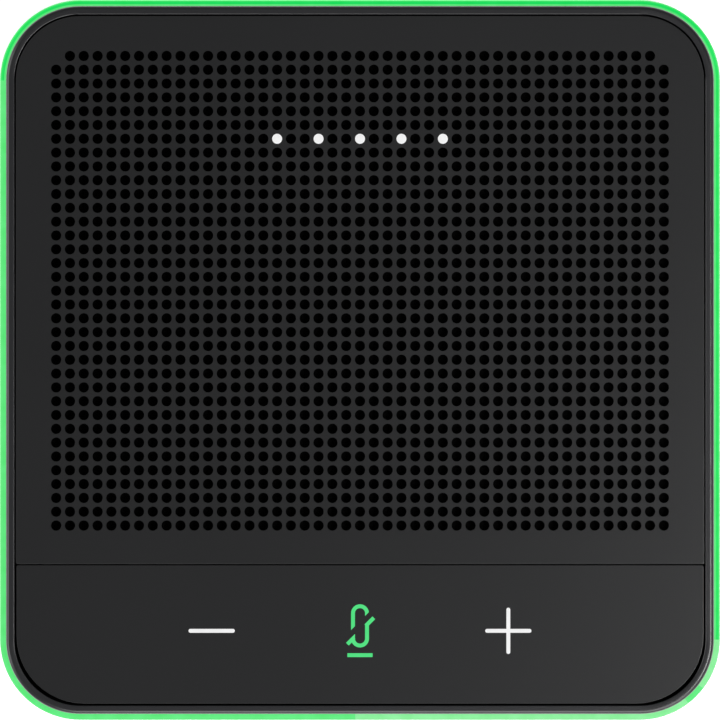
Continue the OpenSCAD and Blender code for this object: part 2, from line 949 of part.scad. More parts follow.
module base_screws() {
    color("#4a4c50")
        for (x = [-1, 1], y = [-1, 1])
            translate([x * boss_xy, y * boss_xy, 4.2]) screw(2.8, 1.9, m3_r, 27.4);
}

module baffle_screws() {
    color("#b9bcc0")
        for (x = [-post_x, post_x], y = post_ys)
            translate([x, y, baffle_top]) mirror([0, 0, 1]) screw(2.7, 1.3, m3_r, 12);
}

module driver_screws() {
    color("#b9bcc0")
        at_driver()
            for (a = [45:90:315])
                rotate([0, 0, a])
                    translate([28.4, 0, flange_top]) mirror([0, 0, 1]) screw(2.2, 1.4, 1.2, 3);
}

module board_screws() {
    color("#b9bcc0") {
        for (p = main_board_screws)
            translate([p[0], p[1], board_top]) mirror([0, 0, 1]) screw(2.1, 1.4, small_screw_r, 3.6);
        for (p = key_board_screws)
            translate([p[0], p[1], key_board_z + key_board_t])
                mirror([0, 0, 1]) screw(2.1, 1.4, small_screw_r, 5);
        for (p = upper_board_screws)
            translate([p[0], p[1], upper_board_top])
                mirror([0, 0, 1]) screw(2.1, 1.4, small_screw_r, 3.2);
    }
}

grille_plate();
base_shell();
top_frame();
light_ring();
key_plate();
key_cradle();
foot_ring();
blank_label();
grille_gasket();
dust_screen();
ring_carrier();
ring_led_strip();
ring_leds();
speaker_chamber();
chamber_gasket();
speaker_baffle();
driver_basket();
driver_yoke();
driver_magnet();
driver_pole_plate();
driver_gasket();
surround();
spider();
terminal_strip();
cone();
dust_cap();
coil_former();
voice_coil();
upper_board();
status_leds();
light_pipe_block();
status_light_pipes();
mic_capsules();
mic_boots();
main_board();
main_processor();
amplifier_chip();
shield_can();
board_capacitors();
usb_c_socket();
board_connectors();
key_flex();
upper_flex();
speaker_leads();
key_board();
key_leds();
key_light_shroud();
switch_bodies();
plunger(switch_spots[0]);  // minus_plunger
plunger(switch_spots[1]);  // mute_plunger
plunger(switch_spots[2]);  // plus_plunger
cradle_pins();
rocker_pins();
icon_minus();
icon_mute();
icon_plus();
base_screws();
baffle_screws();
driver_screws();
board_screws();
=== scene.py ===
import json
import math

import bmesh
import bpy
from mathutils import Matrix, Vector


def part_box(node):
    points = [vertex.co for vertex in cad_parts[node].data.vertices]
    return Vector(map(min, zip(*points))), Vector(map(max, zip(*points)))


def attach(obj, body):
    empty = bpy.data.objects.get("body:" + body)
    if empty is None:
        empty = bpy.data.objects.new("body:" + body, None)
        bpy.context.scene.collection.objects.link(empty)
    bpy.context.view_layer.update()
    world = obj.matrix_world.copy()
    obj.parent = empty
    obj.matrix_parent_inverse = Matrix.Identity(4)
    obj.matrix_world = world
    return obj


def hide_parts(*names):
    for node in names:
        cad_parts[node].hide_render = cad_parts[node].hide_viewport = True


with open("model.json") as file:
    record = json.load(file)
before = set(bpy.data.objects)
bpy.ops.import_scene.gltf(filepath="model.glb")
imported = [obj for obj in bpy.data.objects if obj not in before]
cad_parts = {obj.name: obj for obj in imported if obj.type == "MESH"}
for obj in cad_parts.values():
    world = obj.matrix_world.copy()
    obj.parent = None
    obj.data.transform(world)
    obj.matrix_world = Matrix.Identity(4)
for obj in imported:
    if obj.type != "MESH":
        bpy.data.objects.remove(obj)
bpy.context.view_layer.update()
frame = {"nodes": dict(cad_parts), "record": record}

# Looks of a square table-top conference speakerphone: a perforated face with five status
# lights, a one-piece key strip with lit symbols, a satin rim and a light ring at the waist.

NODES = frame["nodes"]
MM = 0.001
# Two places closer than NEAR are the same, and two heights closer than LEVEL are level.
NEAR = 0.01 * MM
LEVEL = 0.001 * MM

# The plan of the housing: every outline is a rounded square whose corner arcs share the
# centres at CORNER, so an outline is named by how far it lies outside them.
RING_LOW, RING_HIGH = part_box("light_ring")
RIM_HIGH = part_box("top_frame")[1]
PLATE_LOW, PLATE_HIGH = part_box("grille_plate")
KEYS_LOW, KEYS_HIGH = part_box("key_plate")
SHELL_LOW, SHELL_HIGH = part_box("base_shell")
PIPES_LOW, PIPES_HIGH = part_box("status_light_pipes")
RING_R = 13.4 * MM
CORNER = RING_HIGH.x - RING_R
FACE_Z = PLATE_HIGH.z
ARC_STEPS = 24
# Two corners that would just meet are rounded by a little less, so that an edge stays between.
NOT_QUITE = 0.999


# ---------- modelling by hand ----------

def deselect():
    """Leaves edit mode and selects nothing."""
    if bpy.context.object and bpy.context.object.mode != "OBJECT":
        bpy.ops.object.mode_set(mode="OBJECT")
    bpy.ops.object.select_all(action="DESELECT")


def open_mesh(piece):
    """Goes into edit mode on one piece, with nothing selected."""
    deselect()
    piece.select_set(True)
    bpy.context.view_layer.objects.active = piece
    bpy.ops.object.mode_set(mode="EDIT")
    bpy.ops.mesh.select_mode(type="VERT")
    bpy.ops.mesh.select_all(action="DESELECT")


def pick(kind, test):
    """Selects what passes the test, by the place of its middle and its normal."""
    piece = bpy.context.object
    mesh = bmesh.from_edit_mesh(piece.data)
    bpy.ops.mesh.select_mode(type=kind)
    parts = {"VERT": mesh.verts, "EDGE": mesh.edges, "FACE": mesh.faces}
    for same_kind in parts.values():
        for part in same_kind:
            part.select = False
    for part in parts[kind]:
        corners = [part] if kind == "VERT" else part.verts
        middle = sum((corner.co for corner in corners), Vector()) / len(corners)
        part.select_set(bool(test(piece.matrix_world @ middle, part)))
    mesh.select_flush_mode()
    bmesh.update_edit_mesh(piece.data)


def settle(piece, angle=30):
    """Closes the seams, turns the faces outwards, and puts the piece's place in its mesh."""
    open_mesh(piece)
    bpy.ops.mesh.select_all(action="SELECT")
    bpy.ops.mesh.remove_doubles(threshold=0.002 * MM)
    bpy.ops.mesh.normals_make_consistent(inside=False)
    deselect()
    piece.select_set(True)
    bpy.context.view_layer.objects.active = piece
    bpy.ops.object.transform_apply(location=True, rotation=True, scale=True)
    bpy.ops.object.shade_smooth_by_angle(angle=math.radians(angle))
    return piece


def line(name, points):
    """Draws a chain of edges by extruding one vertex from point to point."""
    deselect()
    bpy.ops.mesh.primitive_plane_add(size=MM, location=points[0])
    piece = bpy.context.object
    piece.name = name
    open_mesh(piece)
    bpy.ops.mesh.select_all(action="SELECT")
    bpy.ops.mesh.merge(type="CENTER")
    for start, end in zip(points, points[1:]):
        step = Vector(end) - Vector(start)
        bpy.ops.mesh.extrude_vertices_move(TRANSFORM_OT_translate={"value": step})
    return piece


def close_line():
    """Joins the two ends of the line being drawn."""
    bpy.ops.mesh.select_all(action="SELECT")
    bpy.ops.mesh.edge_face_add()
    bpy.ops.mesh.delete(type="ONLY_FACE")


def sweep(name, section, closed=True):
    """Takes a section round the rounded square: spun at each corner, drawn out along each
    side. The section's points are (distance outside the corner centres, height)."""
    piece = line(name, [(CORNER + out, CORNER, height) for out, height in section])
    if closed:
        close_line()
    bpy.ops.mesh.select_all(action="SELECT")
    for x, y in ((1, 1), (-1, 1), (-1, -1), (1, -1)):
        bpy.ops.mesh.spin(
            steps=ARC_STEPS, angle=-math.pi / 2, center=(x * CORNER, y * CORNER, 0), axis=(0, 0, 1)
        )
        along = Vector((-x - y, x - y, 0)) * CORNER
        bpy.ops.mesh.extrude_edges_move(TRANSFORM_OT_translate={"value": along})
    bpy.ops.mesh.select_all(action="SELECT")
    bpy.ops.mesh.remove_doubles(threshold=0.002 * MM)
    return piece


def arc(middle, radius, start, end, steps):
    """Points of an arc in the section's own two directions, angles in degrees."""
    angles = [math.radians(start + (end - start) * i / steps) for i in range(steps + 1)]
    return [(middle[0] + radius * math.cos(a), middle[1] + radius * math.sin(a)) for a in angles]


def sheet_face(name, low, high, height, rounds):
    """A flat rectangle from low to high. rounds gives a radius for the corner on each side,
    as {(1, -1): radius}, where 1 is the high side."""
    deselect()
    middle = Vector(((low[0] + high[0]) / 2, (low[1] + high[1]) / 2, height))
    bpy.ops.mesh.primitive_plane_add(size=1, location=middle)
    piece = bpy.context.object
    piece.name = name
    piece.scale = (high[0] - low[0], high[1] - low[1], 1)
    bpy.ops.object.transform_apply(location=True, rotation=True, scale=True)
    open_mesh(piece)
    for (side_x, side_y), radius in rounds.items():
        corner = Vector((high[0] if side_x > 0 else low[0], high[1] if side_y > 0 else low[1], height))
        pick("VERT", lambda at, _: (at - corner).length < NEAR)
        bpy.ops.mesh.bevel(offset=radius, segments=ARC_STEPS // 2, affect="VERTICES")
    return piece


def all_round(radius):
    """The same radius for all four corners of a rectangle."""
    return {(x, y): radius for x in (-1, 1) for y in (-1, 1)}


def thicken(depth):
    """Draws the open face down, or up where depth is negative, into a closed slab."""
    bpy.ops.mesh.select_all(action="SELECT")
    bpy.ops.mesh.extrude_region_move(TRANSFORM_OT_translate={"value": (0, 0, -depth)})
    bpy.ops.mesh.select_all(action="SELECT")
    bpy.ops.mesh.normals_make_consistent(inside=False)


def ease_edges(height, width, segments=2):
    """Rounds the sharp edges that lie at one height."""
    pick("EDGE", lambda at, edge: abs(at.z - height) < LEVEL
         and all(abs(v.co.z - height) < LEVEL for v in edge.verts)
         and edge.calc_face_angle(0) > math.radians(40))
    bpy.ops.mesh.bevel(offset=width, segments=segments, affect="EDGES")


def slab(name, low, high, top, bottom, rounds, ease=0.0):
    """A rounded plate, with its top edge eased."""
    piece = sheet_face(name, low, high, top, rounds)
    thicken(top - bottom)
    if ease:
        ease_edges(top, ease)
    return settle(piece)


def rod(name, radius, low, high, steps=32, ease=0.0):
    """A round bar between two points on one line along an axis, with eased ends."""
    deselect()
    low, high = Vector(low), Vector(high)
    turn = (high - low).to_track_quat("Z", "Y").to_euler()
    bpy.ops.mesh.primitive_cylinder_add(
        vertices=steps, radius=radius, depth=(high - low).length, location=(low + high) / 2, rotation=turn
    )
    piece = bpy.context.object
    piece.name = name
    if ease:
        open_mesh(piece)
        pick("EDGE", lambda _, edge: len(edge.link_faces) == 2 and edge.calc_face_angle(0) > 1)
        bpy.ops.mesh.bevel(offset=ease, segments=2, affect="EDGES")
    return settle(piece)


def block(name, low, high, ease=0.0):
    """A box between two corners, with eased edges."""
    deselect()
    low, high = Vector(low), Vector(high)
    bpy.ops.mesh.primitive_cube_add(size=1, location=(low + high) / 2)
    piece = bpy.context.object
    piece.name = name
    piece.scale = high - low
    bpy.ops.object.transform_apply(location=True, rotation=True, scale=True)
    if ease:
        open_mesh(piece)
        bpy.ops.mesh.select_all(action="SELECT")
        bpy.ops.mesh.bevel(offset=ease, segments=2, affect="EDGES")
    return settle(piece)


def join(name, pieces):
    """Makes one object of several."""
    deselect()
    for piece in pieces:
        piece.select_set(True)
    bpy.context.view_layer.objects.active = pieces[0]
    if len(pieces) > 1:
        bpy.ops.object.join()
    pieces[0].name = name
    return pieces[0]


def combine(piece, tools, operation):
    """Cuts the tools out of a piece, or makes them one with it."""
    for tool in tools:
        change = piece.modifiers.new(operation, "BOOLEAN")
        change.operation = operation
        change.object = tool
        change.solver = "EXACT"
        deselect()
        bpy.context.view_layer.objects.active = piece
        bpy.ops.object.modifier_apply(modifier=change.name)
        bpy.data.objects.remove(tool)
    return piece


def twin(piece, name):
    """A copy with a mesh of its own."""
    copy = piece.copy()
    copy.data = piece.data.copy()
    copy.name = name
    bpy.context.scene.collection.objects.link(copy)
    return copy


def slot_tool(name, width, height, middle, back, front):
    """A slot with round ends that runs along Y, as a solid to cut with."""
    corner = Vector((width / 2, height / 2))
    piece = sheet_face(name, -corner, corner, 0, all_round(height / 2 * NOT_QUITE))
    thicken(front - back)
    bpy.ops.mesh.select_all(action="SELECT")
    bpy.ops.transform.rotate(value=math.pi / 2, orient_axis="X", center_override=(0, 0, 0))
    settle(piece)
    low, high = Vector(piece.bound_box[0]), Vector(piece.bound_box[6])
    here = Vector(((low.x + high.x) / 2, high.y, (low.z + high.z) / 2))
    shift = Vector((middle[0], front, middle[1])) - here
    open_mesh(piece)
    bpy.ops.mesh.select_all(action="SELECT")
    bpy.ops.transform.translate(value=shift)
    return settle(piece)


# ---------- materials ----------

def shade(hex_value):
    """An sRGB hex colour as linear red, green, blue and alpha."""
    parts = [int(hex_value[i : i + 2], 16) / 255 for i in (0, 2, 4)]
    return [p / 12.92 if p <= 0.04045 else ((p + 0.055) / 1.055) ** 2.4 for p in parts] + [1.0]


def add(tree, kind, inputs=None, **settings):
    """Adds a shader node, sets its properties and fills its sockets: a node or a socket is
    linked, a text is a hex colour, and anything else is the socket's own value."""
    node = tree.nodes.new("ShaderNode" + kind)
    for name, value in settings.items():
        setattr(node, name, value)
    for key, value in (inputs or {}).items():
        if isinstance(value, bpy.types.Node):
            value = value.outputs[0]
        if isinstance(value, bpy.types.NodeSocket):
            tree.links.new(value, node.inputs[key])
        else:
            node.inputs[key].default_value = shade(value) if isinstance(value, str) else value
    return node


def blank(name):
    """An empty material, its nodes, and the place of each point in metres."""
    material = bpy.data.materials.new(name)
    material.use_nodes = True
    tree = material.node_tree
    tree.nodes.clear()
    return material, tree, add(tree, "TexCoord").outputs["Object"]


def cover(tree, sockets):
    """Ends a material in one Principled shader."""
    shader = add(tree, "BsdfPrincipled", sockets)
    add(tree, "OutputMaterial", {"Surface": shader})


# Noise has about two spots in each unit, so spots of a given size have the scale SPOT / size.
SPOT = 0.5
# At scale 1 a wave repeats every pi / 10, so waves one thread apart have the scale WAVE / thread.
WAVE = 0.314


def moulded(name, dark, light, rough, spark=0.25 * MM, depth=0.006 * MM, ior=1.52, vary=0.025):
    """Injection-moulded plastic: the spark-eroded mould leaves a fine even grain, and the
    pigment and the flow of the melt vary the shade a little over some centimetres."""
    material, tree, place = blank(name)
    fine = add(tree, "TexNoise", {"Vector": place, "Scale": SPOT / spark})
    flow = add(tree, "TexNoise", {"Vector": place, "Scale": SPOT / (24 * MM), "Detail": 3.0})
    streak = add(tree, "MapRange", {0: flow, 1: 0.3, 2: 0.7})
    colour = add(tree, "Mix", {0: streak, 6: dark, 7: light}, data_type="RGBA").outputs[2]
    matt = add(tree, "MapRange", {0: fine, 1: 0.3, 2: 0.7, 3: rough - vary, 4: rough + vary})
    skin = add(tree, "Bump", {"Height": fine, "Distance": depth})
    cover(tree, {"Base Color": colour, "Roughness": matt, "Normal": skin, "IOR": ior})
    return material


def rubber(name, dark, light, rough=0.75):
    """Moulded rubber or silicone: matt, with a bloom that pales it in soft patches."""
    material, tree, place = blank(name)
    cloud = add(tree, "TexNoise", {"Vector": place, "Scale": SPOT / (7 * MM), "Detail": 4.0})
    fine = add(tree, "TexNoise", {"Vector": place, "Scale": SPOT / (0.2 * MM)})
    bloom = add(tree, "MapRange", {0: cloud, 1: 0.3, 2: 0.7})
    colour = add(tree, "Mix", {0: bloom, 6: dark, 7: light}, data_type="RGBA").outputs[2]
    matt = add(tree, "MapRange", {0: cloud, 1: 0.3, 2: 0.7, 3: rough - 0.08, 4: rough + 0.08})
    skin = add(tree, "Bump", {"Height": fine, "Distance": 0.01 * MM})
    cover(tree, {"Base Color": colour, "Roughness": matt, "Normal": skin, "IOR": 1.5})
    return material


def foam(name, dark, light):
    """Closed-cell foam: a matt cut face full of small round pores."""
    material, tree, place = blank(name)
    cells = add(tree, "TexVoronoi", {"Vector": place, "Scale": 1 / (0.35 * MM)}).outputs["Distance"]
    pores = add(tree, "MapRange", {0: cells, 1: 0.1, 2: 0.6})
    colour = add(tree, "Mix", {0: pores, 6: dark, 7: light}, data_type="RGBA").outputs[2]
    skin = add(tree, "Bump", {"Height": cells, "Distance": 0.08 * MM})
    cover(tree, {"Base Color": colour, "Roughness": 0.95, "Normal": skin, "IOR": 1.45})
    return material


def metal(name, dark, light, rough, brushed=1.0, scratch=0.15 * MM):
    """Worked metal: fine marks of the tool or the roll, stretched along X where brushed is
    over 1, with a slightly uneven plating."""
    material, tree, place = blank(name)
    drawn = add(tree, "Mapping", {"Vector": place, "Scale": (1 / brushed, 1, 1)})
    marks = add(tree, "TexNoise", {"Vector": drawn, "Scale": SPOT / scratch, "Detail": 3.0})
    cloud = add(tree, "TexNoise", {"Vector": place, "Scale": SPOT / (6 * MM), "Detail": 3.0})
    plating = add(tree, "MapRange", {0: cloud, 1: 0.3, 2: 0.7})
    colour = add(tree, "Mix", {0: plating, 6: dark, 7: light}, data_type="RGBA").outputs[2]
    worn = add(tree, "MapRange", {0: marks, 1: 0.3, 2: 0.7, 3: rough - 0.06, 4: rough + 0.1})
    skin = add(tree, "Bump", {"Height": marks, "Distance": 0.002 * MM})
    cover(tree, {"Base Color": colour, "Roughness": worn, "Normal": skin, "Metallic": 1.0})
    return material


def woven(name, dark, light, thread, rough=0.8, depth=0.04 * MM, ior=1.5):
    """Cloth of crossed threads: two waves at right angles, one thread apart, with fibres
    that make each thread a little uneven."""
    material, tree, place = blank(name)
    threads = {"Vector": place, "Scale": WAVE / thread, "Distortion": 0.3, "Detail": 1.0, "Detail Scale": 2.0}
    warp, weft = [add(tree, "TexWave", threads, bands_direction=axis).outputs[1] for axis in ("X", "Y")]
    crossing = add(tree, "Math", {0: warp, 1: weft}, operation="MULTIPLY")
    colour = add(tree, "Mix", {0: crossing, 6: dark, 7: light}, data_type="RGBA").outputs[2]
    skin = add(tree, "Bump", {"Height": crossing, "Distance": depth})
    cover(tree, {"Base Color": colour, "Roughness": rough, "Normal": skin, "IOR": ior})
    return material


def film(name, dark, light, rough, track=0.5 * MM, ior=1.6):
    """A varnished circuit: straight copper tracks show as paler bands under the lacquer,
    and the lacquer's own thickness makes the gloss wander."""
    material, tree, place = blank(name)
    tracks = add(tree, "TexBrick", {"Vector": place, "Scale": 1.0, "Mortar Size": track * 0.35,
                                    "Brick Width": track * 9, "Row Height": track * 2,
                                    "Color1": dark, "Color2": dark, "Mortar": light})
    lacquer = add(tree, "TexNoise", {"Vector": place, "Scale": SPOT / (3 * MM), "Detail": 3.0})
    gloss = add(tree, "MapRange", {0: lacquer, 1: 0.3, 2: 0.7, 3: rough - 0.08, 4: rough + 0.08})
    skin = add(tree, "Bump", {"Height": tracks.outputs[1], "Distance": 0.02 * MM})
    cover(tree, {"Base Color": tracks, "Roughness": gloss, "Normal": skin, "IOR": ior})
    return material


def lamp(name, dark, light, glow, bright, strength, rough=0.35, ior=1.49):
    """Frosted plastic or resin lit from inside: an even glow that varies a little with the
    scatter of the pigment."""
    material, tree, place = blank(name)
    haze = add(tree, "TexNoise", {"Vector": place, "Scale": SPOT / (1.2 * MM), "Detail": 3.0})
    pigment = add(tree, "MapRange", {0: haze, 1: 0.3, 2: 0.7})
    body = add(tree, "Mix", {0: pigment, 6: dark, 7: light}, data_type="RGBA").outputs[2]
    light_out = add(tree, "Mix", {0: pigment, 6: glow, 7: bright}, data_type="RGBA").outputs[2]
    frost = add(tree, "MapRange", {0: haze, 1: 0.3, 2: 0.7, 3: rough - 0.05, 4: rough + 0.05})
    cover(tree, {"Base Color": body, "Roughness": frost, "IOR": ior,
                 "Emission Color": light_out, "Emission Strength": strength})
    return material


# What each finish is, by the record's slot. Colours are what the eye sees in soft light.
FINISHES = {
    # moulded PC/ABS in a fine spark texture: soft black, no clear mirror images
    "matte_black_abs": moulded(
        "moulded_pc_abs_spark_black", "0b0b0d", "0f0f12", 0.6, 0.35 * MM, 0.012 * MM, 1.33
    ),
    # the same, moulded smooth: a satin rim that draws a bright line along its shoulder
    "dark_bezel_abs": moulded(
        "moulded_pc_abs_satin_rim", "121214", "161618", 0.3, 0.3 * MM, 0.001 * MM, vary=0.01
    ),
    # face plates, moulded in one very fine texture: they shade evenly from one corner to the other
    "face_abs": moulded(
        "moulded_pc_abs_fine_face", "0b0b0c", "0e0e0f", 0.29, 0.22 * MM, 0.0003 * MM, vary=0.005
    ),
    # opal acrylic lit green from inside: the ring's deepest shade, along the back and the right
    "green_diffuser": lamp(
        "opal_acrylic_lit_green", "0a3a18", "0e4620", "0ce35a", "1ce762", 0.9, 0.6, 1.28
    ),
    # moulded silicone rubber foot: matt and slightly dusty
    "foot_rubber": rubber("moulded_silicone_foot", "0c0c0c", "161616"),
    # printed polyester label with nothing on it: a flat satin grey
    "label_film": moulded("printed_polyester_label", "343537", "3a3b3d", 0.4, 0.4 * MM, 0.001 * MM),
    # die-cut polyurethane foam: pored and matt
    "black_foam": foam("die_cut_polyurethane_foam", "080808", "141414"),
    # woven polyester monofilament, threads 0.12 mm apart drawn at 0.25 mm so that they show;
    # most light goes through the open weave and is lost, so it has next to no gloss
    "acoustic_mesh": woven("woven_polyester_mesh", "020202", "080808", 0.25 * MM, 0.9, ior=1.15),
    "boot_silicone": rubber("moulded_silicone_boot", "121212", "1c1c1c", 0.65),
    # titanium-white ABS, left bright so that it throws light forward
    "white_abs": moulded("moulded_white_abs", "dcdcd6", "e8e8e4", 0.5, 0.3 * MM, 0.004 * MM),
    "flex_white": film("white_lacquered_film_circuit", "e4e4de", "cfd0c6", 0.35),
    # silicone over phosphor: a warm glowing dot
    "led_package": lamp("cast_silicone_led_lens", "efe6c0", "fff8dc", "fff0c0", "fff6d8", 0.6),
    # frosted acrylic rods that carry white light to the face
    "clear_acrylic": lamp("frosted_acrylic_light_pipe", "2a2a2b", "333334", "eaeaea", "eeeeee", 0.97),
    "black_pipe_holder": moulded("moulded_black_abs_holder", "0a0a0a", "101010", 0.6),
    "chamber_abs": moulded("moulded_abs_chamber", "37373a", "3f3f43", 0.55, 0.4 * MM, 0.015 * MM),
    "baffle_abs": moulded("moulded_glass_filled_baffle", "303136", "393a40", 0.6, 0.5 * MM, 0.02 * MM),
    # stamped steel, zinc-plated and passivated: grey with rolled marks
    "stamped_steel": metal("stamped_plated_steel_basket", "5f6368", "7a7e83", 0.38, 4.0),
    "zinc_plated_steel": metal("turned_zinc_plated_steel", "a2a6aa", "b8bcc0", 0.28, 1.0, 0.1 * MM),
    "nickel_neodymium": metal("nickel_plated_sintered_magnet", "8a8c90", "9c9ea2", 0.18, 1.0, 0.4 * MM),
    "butyl_rubber": rubber("moulded_butyl_roll", "0c0c0c", "141414", 0.5),
    # phenolic resin on cotton, threads about 0.4 mm apart
    "phenolic_cloth": woven("resin_stiffened_cotton", "a97f33", "cfa650", 0.4 * MM, 0.7),
    "phenolic_board": film("pressed_phenolic_laminate", "80521f", "96652e", 0.5, 0.8 * MM),
    # paper pulp, felted and coated: matt with loose fibres
    "cone_paper": foam("felted_paper_cone", "181819", "242426"),
    "kapton": film("wound_polyimide_former", "a3703a", "bb8a4e", 0.3, 1.2 * MM),
    # copper wire laid turn beside turn, drawn at 0.2 mm
    "copper_wire": metal("enamelled_copper_winding", "a8521a", "c46c2a", 0.3, 20.0, 0.2 * MM),
    # green solder resist over copper tracks on glass epoxy
    "green_laminate": film("solder_resist_on_glass_epoxy", "10402a", "1d6a44", 0.35, 0.4 * MM),
    "chip_epoxy": moulded("transfer_moulded_chip_epoxy", "151618", "1c1d20", 0.55, 0.2 * MM, 0.006 * MM),
    "tinned_steel": metal("tinned_rolled_steel", "b2b5b8", "c6c9cc", 0.3, 8.0),
    "capacitor_can": metal("drawn_aluminium_can", "c0aa66", "d2bd7c", 0.35, 1.0),
    "connector_nylon": moulded("moulded_nylon_connector", "e6dfcb", "f0ead8", 0.45),
    "polyimide_flex": film("polyimide_film_circuit", "c9771f", "e09a4a", 0.25, 0.5 * MM),
    "lead_insulation": rubber("extruded_silicone_wire", "8c1a1a", "a42424", 0.45),
    "switch_nylon": moulded("moulded_black_nylon_switch", "141414", "1c1c1c", 0.5),
    "plunger_acetal": moulded("moulded_acetal_plunger", "a63024", "b83c30", 0.35, 0.3 * MM, 0.002 * MM),
    "cradle_nylon": moulded("moulded_glass_filled_nylon", "83868a", "93969a", 0.55, 0.5 * MM, 0.015 * MM),
    "ground_steel": metal("ground_steel_pin", "bcbfc3", "ced1d5", 0.15, 6.0),
    # translucent polycarbonate, white or green, lit from below
    "white_icon_pc": lamp("translucent_white_polycarbonate", "2a2a2b", "333334", "ececec", "f0f0f0", 0.95),
    "green_icon_pc": lamp("translucent_green_polycarbonate", "06200f", "0a2a14", "40d776", "4adb7c", 1.0),
    "black_zinc_steel": metal("black_zinc_plated_steel", "303236", "44464a", 0.35, 1.0, 0.12 * MM),
    "zinc_screws": metal("zinc_plated_screw_steel", "aeb1b5", "c2c5c9", 0.3, 1.0, 0.12 * MM),
}
# painted shade: near black, matt and with little gloss, laid inside holes, on the rim's inner wall and
# underneath where shade falls
PAINTED_SHADE_INSIDE = moulded("moulded_pc_abs_painted_shade_inside", "020202", "050505", 0.9, 0.3 * MM, 0.01 * MM, ior=1.15)
# painted highlight: the ring's round edges, its left side and its front glow a paler green that stands in for
# light falling on them
OPAL_PAINTED_HIGHLIGHT = lamp(
    "opal_acrylic_painted_highlight_green", "0a3a18", "0e4620", "59ea78", "66ee86", 0.9, 0.6, 1.28
)
# painted highlight: from the middle of the front to the right corner the ring glows nearly white, which
# stands in for light falling on it
OPAL_PAINTED_PALEST_HIGHLIGHT = lamp(
    "opal_acrylic_painted_palest_highlight", "0a3a18", "0e4620", "88f098", "98f4a8", 0.88, 0.6, 1.28
)
# a thin plating of gold on the contacts: warm, smooth and bright
GOLD = metal("gold_flashed_contact", "c99a3c", "e0b657", 0.22, 1.0, 0.1 * MM)
SLOT_OF = {part["node"]: part["material_slot"] for part in frame["record"]["subparts"]}
BODY_OF = {node: body for body, nodes in frame["record"]["behaviour"]["bodies"].items() for node in nodes}

for name, node in NODES.items():
    node.data.materials.clear()
    node.data.materials.append(FINISHES[SLOT_OF[name]])


def flatten_shading(piece):
    """Lets the large flat faces keep their own direction up to the rounding beside them."""
    piece.modifiers.new("flat", "WEIGHTED_NORMAL").keep_sharp = True
    deselect()
    bpy.context.view_layer.objects.active = piece
    bpy.ops.object.modifier_apply(modifier="flat")


def hand_over(piece, node):
    """Lets a finished piece stand for a CAD node, on that node's body and in its finish."""
    flatten_shading(piece)
    piece.data.materials.clear()
    piece.data.materials.append(FINISHES[SLOT_OF[node]])
    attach(piece, BODY_OF[node])
    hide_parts(node)
    return piece


def reach(at):
    """How far a point lies outside the corner centres, in plan."""
    return math.hypot(max(abs(at.x) - CORNER, 0), max(abs(at.y) - CORNER, 0))


def paint(piece, finish, test):
    """Gives the faces whose middle passes the test a material of their own: here always painted shade or a
    painted highlight.
    """
    piece.data.materials.append(finish)
    open_mesh(piece)
    pick("FACE", lambda at, face: test(at))
    piece.active_material_index = len(piece.data.materials) - 1
    bpy.ops.object.material_slot_assign()
    deselect()


def below_face(at):
    """Whether a point lies under the flat top of the plates."""
    return at.z < FACE_Z - 0.05 * MM


# ---------- base shell ----------

# The side runs straight down to KNEE_Z and turns under from there, by BELLY, in a quarter
# oval. RIM_OUT, TURN_OUT and LIP_OUT lie outside the corner centres.
BELLY = 5 * MM
KNEE_H = 8 * MM
KNEE_Z = SHELL_LOW.z + KNEE_H
WALL = 2 * MM
FLOOR = 2.2 * MM
RIM_OUT = SHELL_HIGH.x - CORNER
TURN_OUT = 6.2 * MM
LIP_OUT = RING_HIGH.x - 7 * MM - CORNER
STEP_H = 1.2 * MM
BOSS_XY = CORNER + 1.6 * MM
BOSSES = [(x * BOSS_XY, y * BOSS_XY) for x in (-1, 1) for y in (-1, 1)]
BOSS_R = 3.5 * MM
FOOT_DEEP = 0.8 * MM
LABEL_DEEP = 0.3 * MM
PORT_Z = (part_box("usb_c_socket")[0].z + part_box("usb_c_socket")[1].z) / 2
PORT_MOUTH_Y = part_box("usb_c_socket")[1].y
PORT_CUT_Y = RING_HIGH.x + MM


def quarter(width, drop, steps):
    """The quarter oval where the shell's side turns under."""
    angles = [math.pi / 2 * i / steps for i in range(steps + 1)]
    return [(TURN_OUT + width * math.sin(a), KNEE_Z - drop * math.cos(a)) for a in angles]


def shell_body():
    """The shell's wall and floor, with a step round the top for the ring."""
    ease = 0.3 * MM
    step_z = SHELL_HIGH.z - STEP_H
    section = [(0, SHELL_LOW.z)] + quarter(BELLY, KNEE_H, 16)
    section += arc((RIM_OUT - ease, SHELL_HIGH.z - ease), ease, 0, 90, 3)
    section += [(LIP_OUT, SHELL_HIGH.z), (LIP_OUT, step_z), (RIM_OUT - WALL, step_z)]
    section += quarter(BELLY - WALL, KNEE_H - FLOOR, 8)[::-1] + [(0, SHELL_LOW.z + FLOOR)]
    shell = sweep("base_shell_moulded", section, closed=False)
    for height in (SHELL_LOW.z, SHELL_LOW.z + FLOOR):
        pick("EDGE", lambda at, edge: edge.is_boundary and abs(at.z - height) < NEAR)
        bpy.ops.mesh.edge_face_add()
    return settle(shell)


